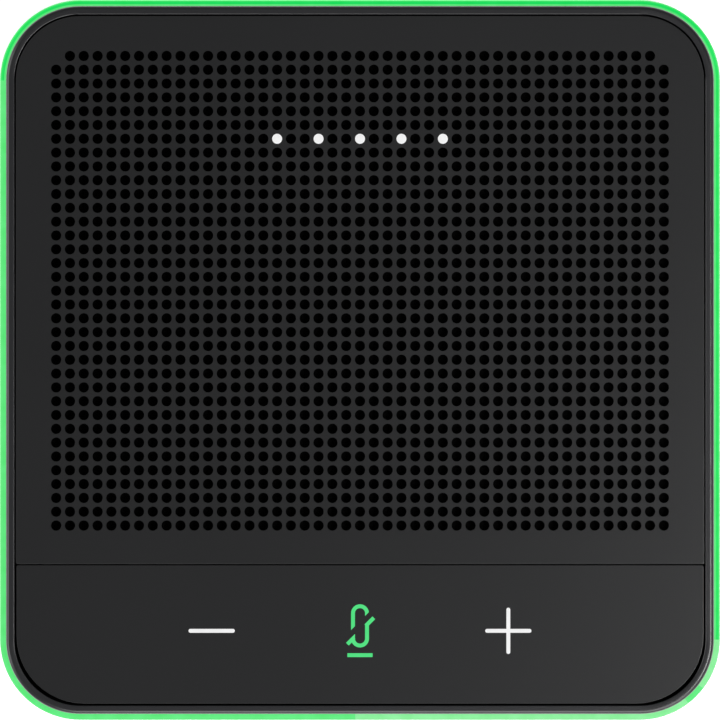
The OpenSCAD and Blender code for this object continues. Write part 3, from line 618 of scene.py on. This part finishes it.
def make_base_shell():
    """The shell with its posts, screw holes, foot groove, label bed and socket opening."""
    shell = shell_body()
    top = SHELL_HIGH.z - 0.02 * MM
    inside = SHELL_LOW.z + FLOOR - 0.3 * MM
    posts = [rod("post", BOSS_R, (*at, inside), (*at, top)) for at in BOSSES]
    # the posts of the baffle, the key board and the main board, in millimetres
    for radius, across, rows, post_top in (
        (2.8, 45, (-14, 22), 25), (2.2, 40, (-38, -49.5), 27.8), (2.5, 38, (-29, 49), 5)
    ):
        posts += [rod("post", radius * MM, (x * MM, y * MM, inside), (x * MM, y * MM, post_top * MM))
                  for x in (-across, across) for y in rows]
    port_wall = block("port_wall", (-8.5 * MM, 52.6 * MM, inside), (8.5 * MM, 56 * MM, 13 * MM))
    combine(shell, posts + [port_wall], "UNION")

    holes = [rod("hole", 1.7 * MM, (*at, 0), (*at, 30 * MM)) for at in BOSSES]
    holes += [rod("sink", 3.2 * MM, (*at, 0), (*at, 4.2 * MM), 48) for at in BOSSES]
    label_bed = slab("label_bed", (-22 * MM, -13 * MM), (22 * MM, 13 * MM), SHELL_LOW.z + LABEL_DEEP, 0,
                     all_round(2 * MM))
    port = slot_tool("port", 9.3 * MM, 3.66 * MM, (0, PORT_Z), 52 * MM, PORT_CUT_Y)
    pocket = slot_tool("pocket", 12.6 * MM, 7 * MM, (0, PORT_Z), PORT_MOUTH_Y, PORT_CUT_Y)
    foot_groove = foot_solid(0, SHELL_LOW.z + FOOT_DEEP)
    combine(shell, holes + [foot_groove, label_bed, port, pocket], "DIFFERENCE")

    def is_mouth(at):
        """Whether an edge rings an opening in the underside or the socket's pocket."""
        if at.z < SHELL_LOW.z + NEAR:
            return True
        in_pocket = at.y > PORT_MOUTH_Y + 0.1 * MM and abs(at.x) < 6.4 * MM
        return in_pocket and (abs(at.z - PORT_Z) < 3.6 * MM or at.z < 2 * MM)

    open_mesh(shell)
    pick("EDGE", lambda at, edge: edge.is_manifold and is_mouth(at)
         and edge.calc_face_angle(0) > math.radians(50))
    bpy.ops.mesh.bevel(offset=0.25 * MM, segments=2, affect="EDGES", clamp_overlap=True)
    return settle(shell)


FOOT_HALF = 44 * MM
FOOT_HOLLOW = 36 * MM
FOOT_R = 8 * MM


def foot_solid(play, top):
    """The square frame of the foot, from the table to a height."""
    half, hollow = FOOT_HALF - play, FOOT_HOLLOW + play
    outer = slab("foot", (-half, -half), (half, half), top, 0, all_round(FOOT_R))
    inner = slab("hollow", (-hollow, -hollow), (hollow, hollow), top + MM, -MM, all_round(4 * MM))
    return combine(outer, [inner], "DIFFERENCE")


def make_foot():
    """A rubber frame with rounded lower edges and two shallow grip grooves round it."""
    foot = foot_solid(0.02 * MM, 1.98 * MM)
    width, depth = 0.6 * MM, 0.35 * MM
    for inset in (2.6 * MM, 4.8 * MM):
        half, rounding = FOOT_HALF - inset, FOOT_R - inset
        groove = slab("groove", (-half, -half), (half, half), depth, -MM, all_round(rounding))
        half -= width
        core = slab("core", (-half, -half), (half, half), MM, -2 * MM, all_round(rounding - width))
        combine(groove, [core], "DIFFERENCE")
        combine(foot, [groove], "DIFFERENCE")
    open_mesh(foot)
    pick("EDGE", lambda at, edge: edge.is_manifold and at.z < NEAR and edge.calc_face_angle(0) > 1)
    bpy.ops.mesh.bevel(offset=0.12 * MM, segments=2, affect="EDGES")
    return settle(foot)


def make_label():
    """A blank label in its bed, with a little play round it."""
    corner = Vector((21.8, 12.8)) * MM
    return slab("label_blank", -corner, corner, 1.5 * MM, 1.3 * MM, all_round(1.8 * MM))


hand_over(make_base_shell(), "base_shell")
hand_over(make_foot(), "foot_ring")
hand_over(make_label(), "blank_label")

# ---------- rim and light ring ----------

RIM_INSIDE = RIM_HIGH.x - 1.4 * MM - CORNER
RIM_OUTSIDE = RIM_HIGH.x - CORNER
SHELF_LOW = RING_HIGH.z
SHELF_HIGH = SHELF_LOW + 1.4 * MM
SHELF_OUT = 5.9 * MM
# The cradle tips about a line along X at HINGE_Y and HINGE_Z, and the strip rocks on pins at ROCK_Z.
HINGE_Y = -36.4 * MM
HINGE_Z = 32.4 * MM
ROCK_Z = 33.2 * MM
BORE_R = 0.65 * MM


def make_rim():
    """The rim's inner edge is broken by a hair chamfer; outside, a flat runs into a broad
    round shoulder that catches the light."""
    shoulder, chamfer = 0.66 * MM, 0.14 * MM
    section = [(RIM_INSIDE, SHELF_HIGH)]
    section += arc((RIM_INSIDE + chamfer, FACE_Z - chamfer), chamfer, 180, 90, 3)
    section += arc((RIM_OUTSIDE - shoulder, FACE_Z - shoulder), shoulder, 90, 0, 10)
    section += [(RIM_OUTSIDE, SHELF_LOW), (SHELF_OUT, SHELF_LOW), (SHELF_OUT, SHELF_HIGH)]
    rim = settle(sweep("rim_moulded", section))
    window = block("window", (-50 * MM, -56.3 * MM, SHELF_LOW - MM), (50 * MM, -CORNER, SHELF_HIGH + MM))
    combine(rim, [window], "DIFFERENCE")
    beam_top = SHELF_HIGH - 0.002 * MM
    extras = [block("beam", (-58 * MM, -34.6 * MM, SHELF_LOW), (58 * MM, -30.6 * MM, beam_top))]
    for side in (-1, 1):
        for at in BOSSES[:2] if side < 0 else BOSSES[2:]:
            extras.append(rod("web", 4.4 * MM, (*at, SHELF_LOW + 0.01 * MM), (*at, SHELF_HIGH - 0.01 * MM)))
            extras.append(rod("boss", BOSS_R, (*at, SHELL_HIGH.z), (*at, SHELF_LOW + 0.5 * MM)))
        low, high = sorted((side * 38 * MM, side * 40 * MM))
        extras.append(rod("ear", 1.4 * MM, (low, HINGE_Y, HINGE_Z), (high, HINGE_Y, HINGE_Z)))
        extras.append(block("ear_root", (low, HINGE_Y, SHELF_LOW), (high, -34.3 * MM, ROCK_Z)))
    combine(rim, extras, "UNION")
    holes = [rod("pilot", 1.5 * MM, (*at, 28 * MM), (*at, 32.3 * MM)) for at in BOSSES]
    holes += [rod("bore", BORE_R, (side * 37 * MM, HINGE_Y, HINGE_Z), (side * 41 * MM, HINGE_Y, HINGE_Z))
              for side in (-1, 1)]
    return settle(combine(rim, holes, "DIFFERENCE"))


# Where the ring's painted highlights change. Between its two round edges its top is flat, from the first to
# the second of OPAL_FLAT outside the corner centres; the palest painted highlight starts at PALE_FROM
# along X and stops for OPAL_BEND on both sides of the corner's middle.
OPAL_FLAT = (12.72 * MM, 13.22 * MM)
PALE_FROM = -0.8 * MM
OPAL_BEND = 1.9 * MM


def make_light_ring():
    """An opal band: round nose outside, and a tongue inside that takes in the light."""
    out, neck = RING_HIGH.x - CORNER - 0.001 * MM, RIM_INSIDE + 0.45 * MM
    low, top = RING_LOW.z, RING_HIGH.z
    under_r, over_r = 0.6 * MM, 0.7 * MM
    tongue, step = neck - 2.2 * MM, 0.8 * MM
    section = [(neck, low)] + arc((out - under_r, low + under_r), under_r, -90, 0, 8)
    section += arc((out - over_r, top - over_r), over_r, 0, 90, 10)
    section += [(neck, top), (neck, top - step), (tongue, top - step)]
    section += [(tongue, low + step), (neck, low + step)]
    ring = settle(sweep("light_ring_opal", section))
    open_mesh(ring)
    bpy.ops.mesh.select_all(action="SELECT")
    # a cut across the ring at PALE_FROM, so that the palest painted highlight starts at an edge
    bpy.ops.mesh.bisect(plane_co=(PALE_FROM, 0, 0), plane_no=(1, 0, 0))
    return settle(ring)


def is_inside_rim(at):
    """Whether a point lies on the rim's inner wall or deeper in."""
    return at.z < FACE_Z - 0.14 * MM and reach(at) < RIM_INSIDE + 0.01 * MM


def has_painted_highlight(at):
    """Where the ring gets a painted highlight: the round edges everywhere, and the flat along the left and
    the front.
    """
    return at.y < -CORNER or (at.x < 0 and at.y < CORNER) or not OPAL_FLAT[0] < reach(at) < OPAL_FLAT[1]


def has_palest_painted_highlight(at):
    """Where the ring gets the palest painted highlight: the front from the middle to the right, but not the
    middle of the right corner.
    """
    in_bend = at.x > CORNER and abs(at.x + at.y) < OPAL_BEND
    return at.y < -CORNER and at.x > PALE_FROM and not in_bend


# painted shade on the rim's inner wall and below it
paint(hand_over(make_rim(), "top_frame"), PAINTED_SHADE_INSIDE, is_inside_rim)
light_ring = hand_over(make_light_ring(), "light_ring")
# painted highlight: a paler green glow on the ring's round edges, its left side and its front
paint(light_ring, OPAL_PAINTED_HIGHLIGHT, has_painted_highlight)
# painted highlight: a nearly white glow on the front of the ring, from the middle to the right corner
paint(light_ring, OPAL_PAINTED_PALEST_HIGHLIGHT, has_palest_painted_highlight)

# ---------- grille plate ----------

PITCH = 2.3 * MM
COLUMNS, ROWS = 45, 35
FIELD_Y = 11.54 * MM
HOLE_STEPS = 16
HOLE_R = 0.86 * MM
EDGE_BREAK = 0.02 * MM
LIGHT_R = (PIPES_HIGH.y - PIPES_LOW.y) / 2
LIGHT_Y = (PIPES_HIGH.y + PIPES_LOW.y) / 2
LIGHT_XS = [(i - 2) * 3 * PITCH for i in range(5)]
PLATE_EASE = 0.06 * MM


def hole_cell(name, x, y, radius, broken):
    """One square of the plate round a hole: the top with a broken edge, the wall and the underside."""
    top, bottom = PLATE_HIGH.z, PLATE_LOW.z
    deselect()
    bpy.ops.mesh.primitive_grid_add(x_subdivisions=2, y_subdivisions=2, size=PITCH, location=(x, y, top))
    cell = bpy.context.object
    cell.name = name
    open_mesh(cell)
    middle = Vector((x, y, top))
    pick("VERT", lambda at, _: (at - middle).length < NEAR)
    bpy.ops.mesh.delete(type="VERT")
    bpy.ops.mesh.select_all(action="SELECT")
    bpy.ops.mesh.duplicate_move(TRANSFORM_OT_translate={"value": (0, 0, bottom - top)})
    bpy.ops.mesh.primitive_circle_add(
        vertices=HOLE_STEPS, radius=radius + broken, fill_type="NOTHING", location=middle
    )
    bpy.ops.mesh.extrude_edges_move(TRANSFORM_OT_translate={"value": (0, 0, -broken)})
    shrink = radius / (radius + broken)
    bpy.ops.transform.resize(value=(shrink, shrink, 1), center_override=(x, y, top - broken))
    bpy.ops.mesh.extrude_edges_move(TRANSFORM_OT_translate={"value": (0, 0, bottom - top + broken)})
    for height in (top, bottom):
        pick("EDGE", lambda at, edge: abs(at.z - height) < LEVEL
             and all(abs(v.co.z + cell.location.z - height) < LEVEL for v in edge.verts))
        bpy.ops.mesh.bridge_edge_loops()
    bpy.ops.mesh.select_all(action="DESELECT")
    deselect()
    cell.select_set(True)
    bpy.context.view_layer.objects.active = cell
    bpy.ops.object.transform_apply(location=True, rotation=True, scale=True)
    return cell


def repeat(piece, count, step):
    """Copies a piece along a row and joins each copy to the last."""
    row = piece.modifiers.new("row", "ARRAY")
    row.count = count
    row.use_relative_offset = False
    row.use_constant_offset = True
    row.constant_offset_displace = step
    row.use_merge_vertices = True
    row.merge_threshold = 0.01 * MM
    deselect()
    bpy.context.view_layer.objects.active = piece
    bpy.ops.object.modifier_apply(modifier="row")


def make_grille():
    """Hole squares in rows and columns, with the two far corner holes left out and wider
    holes for the status lights, let into a rounded plate."""
    first = Vector((-(COLUMNS - 1) / 2 * PITCH, FIELD_Y - (ROWS - 1) / 2 * PITCH, 0))
    field = hole_cell("field", first.x, first.y, HOLE_R, EDGE_BREAK)
    repeat(field, COLUMNS, (PITCH, 0, 0))
    repeat(field, ROWS, (0, PITCH, 0))
    last_row = FIELD_Y + (ROWS - 1) / 2 * PITCH
    dropped = [Vector((side * first.x, last_row, 0)) for side in (-1, 1)]
    dropped += [Vector((x, LIGHT_Y, 0)) for x in LIGHT_XS]
    open_mesh(field)
    half = PITCH / 2 - 0.001 * MM
    pick("FACE", lambda at, _: any(abs(at.x - d.x) < half and abs(at.y - d.y) < half for d in dropped))
    bpy.ops.mesh.delete(type="FACE")
    lights = [hole_cell("light_hole", x, LIGHT_Y, LIGHT_R, 0.04 * MM) for x in LIGHT_XS]
    rounds = {(-1, 1): PLATE_HIGH.x - CORNER, (1, 1): PLATE_HIGH.x - CORNER,
              (-1, -1): 0.25 * MM, (1, -1): 0.25 * MM}
    plate = slab("plate", PLATE_LOW.xy, PLATE_HIGH.xy, PLATE_HIGH.z, PLATE_LOW.z, rounds, PLATE_EASE)
    open_mesh(plate)
    pick("FACE", lambda at, face: abs(abs(face.normal.z) - 1) < 0.01 and len(face.verts) > 12)
    bpy.ops.mesh.delete(type="ONLY_FACE")
    grille = join("grille_plate_perforated", [plate, field] + lights)
    open_mesh(grille)
    bpy.ops.mesh.select_all(action="SELECT")
    bpy.ops.mesh.remove_doubles(threshold=0.005 * MM)
    for height in (PLATE_HIGH.z, PLATE_LOW.z):
        pick("EDGE", lambda at, edge: len(edge.link_faces) < 2 and abs(at.z - height) < NEAR)
        bpy.ops.mesh.fill(use_beauty=True)
    return settle(grille)


def make_light_pipes():
    """Frosted rods, each with an eased end just under the face."""
    play = 0.02 * MM
    top = PIPES_HIGH.z - play
    rods = [rod("pipe", LIGHT_R - play, (x, LIGHT_Y, PIPES_LOW.z), (x, LIGHT_Y, top), 32, 0.1 * MM)
            for x in LIGHT_XS]
    return join("status_lights_frosted", rods)


# painted shade on the hole walls, the plate's sides and its underside
paint(hand_over(make_grille(), "grille_plate"), PAINTED_SHADE_INSIDE, below_face)
hand_over(make_light_pipes(), "status_light_pipes")

# ---------- key strip ----------

ICON_Y = -45.1 * MM
VOLUME_X = 24.7 * MM
STROKE = 0.65 * MM
SYMBOL = 7.7 * MM
KEY_LOW = FACE_Z - 1.6 * MM
CAPSULE_R = 1.167 * MM
CAPSULE_TOP = ICON_Y + 2.93 * MM
CAPSULE_BOTTOM = ICON_Y - 1.28 * MM
# The slash lies along y = x - SLASH_DROP, and the capsule's upper part ends at y = x - HOOK_DROP.
SLASH_DROP = 45.23 * MM
HOOK_DROP = 43.48 * MM


def bar(name, x, y, length, along_y=False, rounded=True):
    """A short stroke of a symbol as a solid insert."""
    half = (STROKE / 2, length / 2) if along_y else (length / 2, STROKE / 2)
    rounds = all_round(STROKE / 2 * 0.98) if rounded else {}
    return slab(name, (x - half[0], y - half[1]), (x + half[0], y + half[1]), FACE_Z, KEY_LOW, rounds)


def capsule_ring(name, drop, keep_above):
    """The outline of a microphone capsule, cut along a 45 degree line y = x - drop."""
    outer, inner = CAPSULE_R + STROKE / 2, CAPSULE_R - STROKE / 2
    ring = slab(name, (-outer, CAPSULE_BOTTOM - outer), (outer, CAPSULE_TOP + outer), FACE_Z, KEY_LOW,
                all_round(outer * NOT_QUITE))
    hollow = slab("hollow", (-inner, CAPSULE_BOTTOM - inner), (inner, CAPSULE_TOP + inner), FACE_Z + MM,
                  KEY_LOW - MM, all_round(inner * NOT_QUITE))
    combine(ring, [hollow], "DIFFERENCE")
    open_mesh(ring)
    bpy.ops.mesh.select_all(action="SELECT")
    bpy.ops.mesh.bisect(plane_co=(0, -drop, 0), plane_no=(-1, 1, 0), use_fill=True,
                        clear_inner=keep_above, clear_outer=not keep_above)
    return settle(ring)


def slash_end(name, near, far):
    """One end of the slash, from x = near to x = far along its middle line."""
    length = abs(far - near) * math.sqrt(2)
    middle = (near + far) / 2
    piece = bar(name, middle, middle - SLASH_DROP, length, rounded=False)
    open_mesh(piece)
    bpy.ops.mesh.select_all(action="SELECT")
    about = (middle, middle - SLASH_DROP, 0)
    bpy.ops.transform.rotate(value=-math.pi / 4, orient_axis="Z", center_override=about)
    return settle(piece)


def make_mute():
    """A microphone capsule cut by a slash, over a short foot bar."""
    hook = capsule_ring("hook", HOOK_DROP, True)
    cup = capsule_ring("cup", SLASH_DROP - STROKE / 2 * math.sqrt(2), False)
    ends = [slash_end("slash", 0.98 * MM, 2.3 * MM), slash_end("slash", -2.1 * MM, -0.98 * MM)]
    combine(cup, ends, "UNION")
    foot = bar("foot_bar", 0, -49.15 * MM, 4.2 * MM, rounded=False)
    return join("mute_symbol_lit", [hook, cup, foot])


def make_plus():
    """Two strokes made one."""
    plus = bar("plus_symbol_lit", VOLUME_X, ICON_Y, SYMBOL)
    return combine(plus, [bar("upright", VOLUME_X, ICON_Y, SYMBOL, along_y=True)], "UNION")


def make_key_plate(symbols):
    """One plate with tight rounded front corners, slots for its inserts, and the posts and
    lugs that it works the switches and rocks with."""
    front_r = KEYS_HIGH.x - CORNER + 0.6 * MM
    rounds = {(-1, -1): front_r, (1, -1): front_r, (-1, 1): 0.3 * MM, (1, 1): 0.3 * MM}
    plate = slab("key_plate_moulded", KEYS_LOW.xy, KEYS_HIGH.xy, FACE_Z, KEY_LOW, rounds, PLATE_EASE)
    combine(plate, [twin(symbol, "slot") for symbol in symbols], "DIFFERENCE")
    posts = [rod("post", 1.2 * MM, (x, y, KEYS_LOW.z), (x, y, KEY_LOW + 0.2 * MM))
             for x, y in ((-VOLUME_X, HINGE_Y), (VOLUME_X, HINGE_Y), (0, -50.6 * MM))]
    lugs = [block("lug", (-1.6 * MM, low * MM, 32.3 * MM), (1.6 * MM, high * MM, KEY_LOW + 0.2 * MM))
            for low, high in ((-38, -36.5), (-55.9, -54.4))]
    combine(plate, posts + lugs, "UNION")
    bores = [rod("bore", BORE_R, (0, low * MM, ROCK_Z), (0, high * MM, ROCK_Z))
             for low, high in ((-39, -36), (-56.5, -54))]
    return settle(combine(plate, bores, "DIFFERENCE"))


minus = bar("minus_symbol_lit", -VOLUME_X, ICON_Y, SYMBOL)
plus = make_plus()
mute = make_mute()
# painted shade on the key plate's slot walls, sides, underside, posts and lugs
paint(hand_over(make_key_plate([minus, plus, mute]), "key_plate"), PAINTED_SHADE_INSIDE, below_face)
hand_over(minus, "icon_minus")
hand_over(plus, "icon_plus")
hand_over(mute, "icon_mute")

# ---------- USB-C socket ----------


def make_socket():
    """A drawn steel shell with round ends, and an eased mouth."""
    back = PORT_MOUTH_Y - 7.35 * MM
    shell = slot_tool("usb_c_socket_drawn", 8.94 * MM, 3.26 * MM, (0, PORT_Z), back, PORT_MOUTH_Y)
    cavity = slot_tool("cavity", 8.34 * MM, 2.66 * MM, (0, PORT_Z), back + MM, PORT_MOUTH_Y + MM)
    combine(shell, [cavity], "DIFFERENCE")
    open_mesh(shell)
    pick("EDGE", lambda at, edge: at.y > PORT_MOUTH_Y - NEAR
         and edge.is_manifold and edge.calc_face_angle(0) > 1)
    bpy.ops.mesh.bevel(offset=0.08 * MM, segments=2, affect="EDGES")
    return settle(shell)


TONGUE_HALF = 0.35 * MM


def make_tongue():
    """The plate inside the socket that carries the contacts."""
    low = (-3.3 * MM, PORT_MOUTH_Y - 6.5 * MM, PORT_Z - TONGUE_HALF)
    high = (3.3 * MM, PORT_MOUTH_Y - 0.9 * MM, PORT_Z + TONGUE_HALF)
    return block("usb_c_tongue_moulded", low, high, 0.12 * MM)


def make_contacts():
    """Twelve strips on each face of the tongue, half a millimetre apart."""
    strips = []
    for i in range(12):
        x = (i - 5.5) * 0.5 * MM
        for side in (-1, 1):
            z = PORT_Z + side * TONGUE_HALF
            strips.append(block("contact", (x - 0.13 * MM, PORT_MOUTH_Y - 5.4 * MM, z - 0.03 * MM),
                                (x + 0.13 * MM, PORT_MOUTH_Y - 1.3 * MM, z + 0.03 * MM)))
    return join("usb_c_contacts_gold", strips)


hand_over(make_socket(), "usb_c_socket")
for piece, finish, slot in (
    (make_tongue(), FINISHES["switch_nylon"], "switch_nylon"), (make_contacts(), GOLD, "copper_wire")
):
    piece.data.materials.clear()
    piece.data.materials.append(finish)
    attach(piece, BODY_OF["usb_c_socket"])

# ---------- stage, light and camera ----------


def make_floor():
    """A white table top that glows a little, so that it stays pale under every light."""
    deselect()
    bpy.ops.mesh.primitive_plane_add(size=6, location=(0, 0, -0.05 * MM))
    floor = bpy.context.object
    floor.name = "floor"
    material, tree, place = blank("backlit_white_acrylic_table")
    cloud = add(tree, "TexNoise", {"Vector": place, "Scale": SPOT / (60 * MM), "Detail": 3.0})
    haze = add(tree, "MapRange", {0: cloud, 1: 0.3, 2: 0.7})
    white = add(tree, "Mix", {0: haze, 6: "f7f7f7", 7: "fbfbfb"}, data_type="RGBA").outputs[2]
    cover(tree, {"Base Color": white, "Roughness": 0.9, "IOR": 1.3,
                 "Emission Color": white, "Emission Strength": 0.6})
    floor.data.materials.append(material)


def softbox(name, place, size, radiance):
    """A rectangular soft light that points at the face, as bright as its radiance says."""
    data = bpy.data.lights.new(name, "AREA")
    data.shape = "RECTANGLE"
    data.size, data.size_y = size
    data.energy = radiance * math.pi * size[0] * size[1]
    light = bpy.data.objects.new(name, data)
    light.location = place
    light.rotation_euler = (Vector((0, 0, 0.03)) - Vector(place)).to_track_quat("-Z", "Y").to_euler()
    light.visible_camera = False
    bpy.context.scene.collection.objects.link(light)


def make_camera():
    """Straight above, far away and long, with the ring's outer edge at the edge of the view."""
    data = bpy.data.cameras.new("camera")
    data.lens = 1600
    data.sensor_width = 36
    camera = bpy.data.objects.new("camera", data)
    distance = RING_HIGH.x / (data.sensor_width / 2 / data.lens)
    camera.location = (0, 0, RING_HIGH.z + distance)
    data.clip_end = 20
    bpy.context.scene.collection.objects.link(camera)
    bpy.context.scene.camera = camera


def make_light():
    """An even pale room, three soft boxes round the front and sides, and a small one nearer."""
    world = bpy.data.worlds.new("studio")
    world.use_nodes = True
    world.node_tree.nodes["Background"].inputs[0].default_value = shade("f4f6f8")
    world.node_tree.nodes["Background"].inputs[1].default_value = 0.3
    bpy.context.scene.world = world
    softbox("front", (0.2, -0.66, 0.56), (0.8, 0.7), 4.2)
    softbox("left", (-0.72, 0.0, 0.45), (0.7, 0.5), 3.6)
    softbox("right", (0.78, -0.05, 0.40), (0.6, 0.35), 0.35)
    softbox("glow", (0.195, -0.084, 0.352), (0.12, 0.12), 18)


make_floor()
make_light()
make_camera()
bpy.context.scene.view_settings.view_transform = "Standard"
